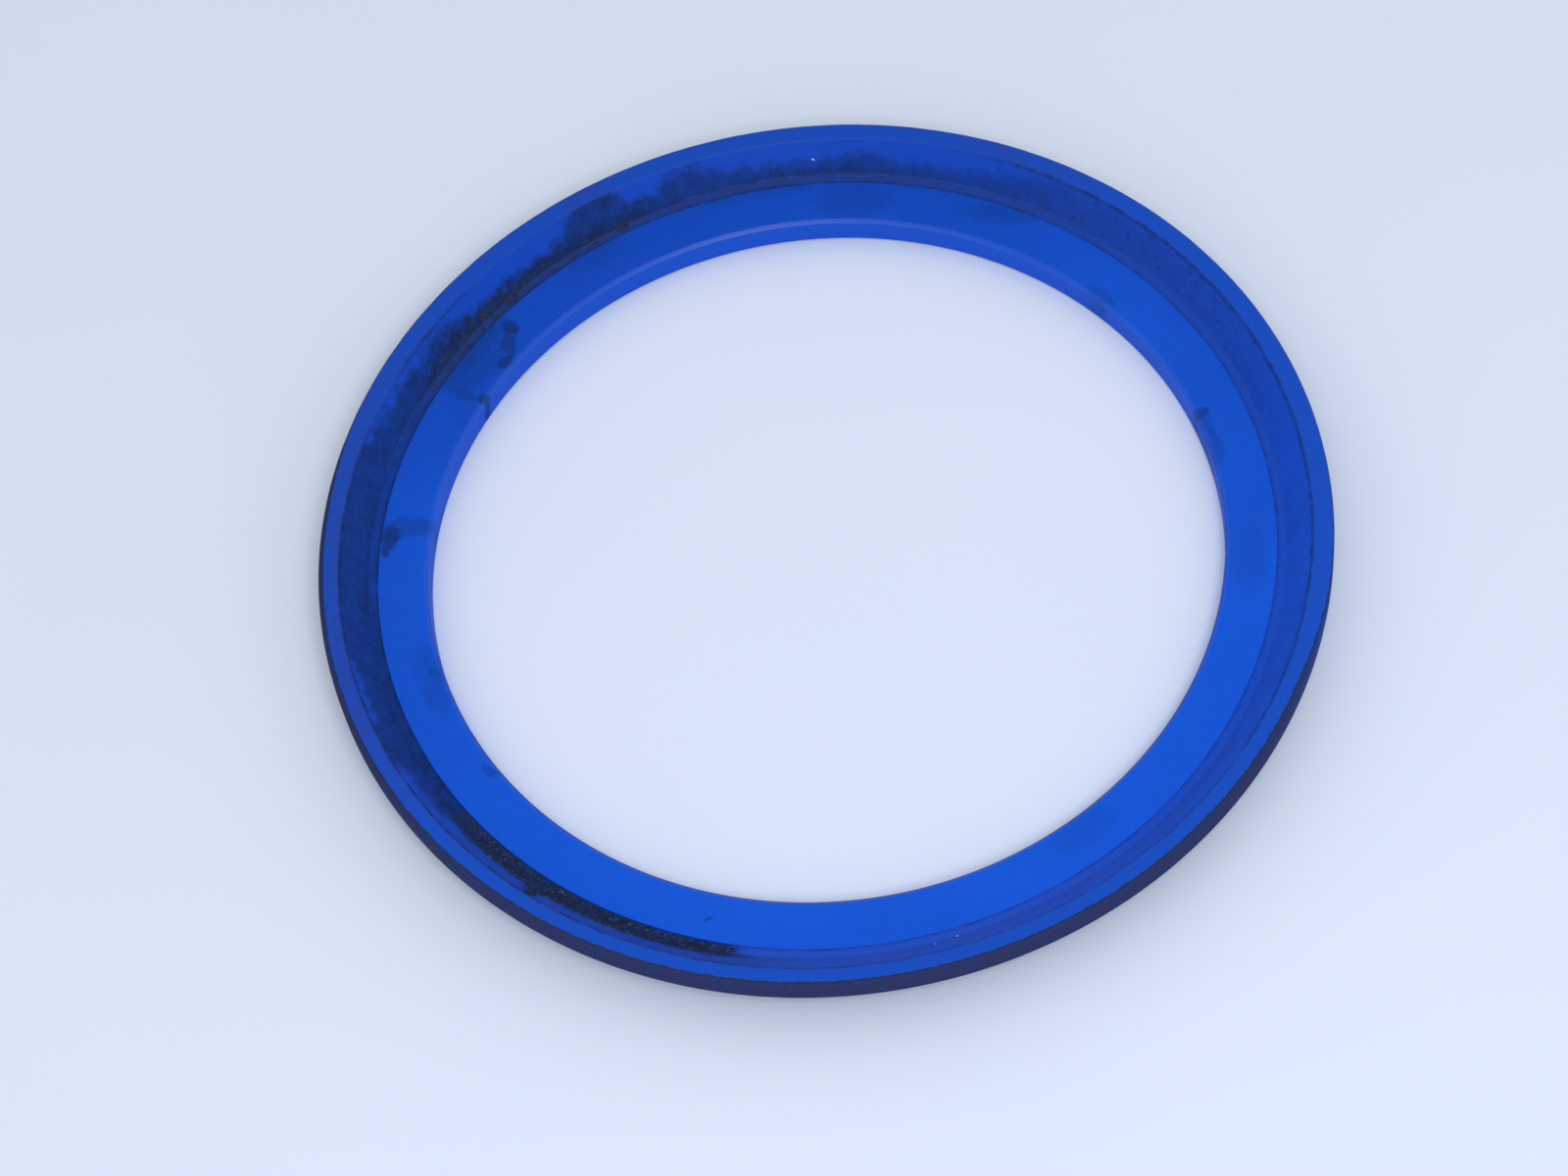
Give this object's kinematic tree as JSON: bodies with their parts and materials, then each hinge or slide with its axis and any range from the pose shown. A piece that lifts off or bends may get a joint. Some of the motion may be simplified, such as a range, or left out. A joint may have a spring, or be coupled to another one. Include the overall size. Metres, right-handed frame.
{
  "type": "cup seal",
  "caption": "Polyurethane cup seal with a flat clamped heel, a plain bore, a root groove and one flared outer lip that seals on a cylinder wall.",
  "frame": {"origin": "middle of the heel's flat seat, on the seal's axis, which is the bottom centre of its bounding box", "axes": "+Z along the seal's axis, out of the open side of the cup; X and Y are any two directions across a round ring"},
  "size_m": [0.095, 0.095, 0.006],
  "materials": {
    "polyurethane": "satin blue polyurethane, dirty in the groove and on the outer wall"
  },
  "bodies": {
    "root": {"cup_seal": "polyurethane"}
  },
  "joints": []
}
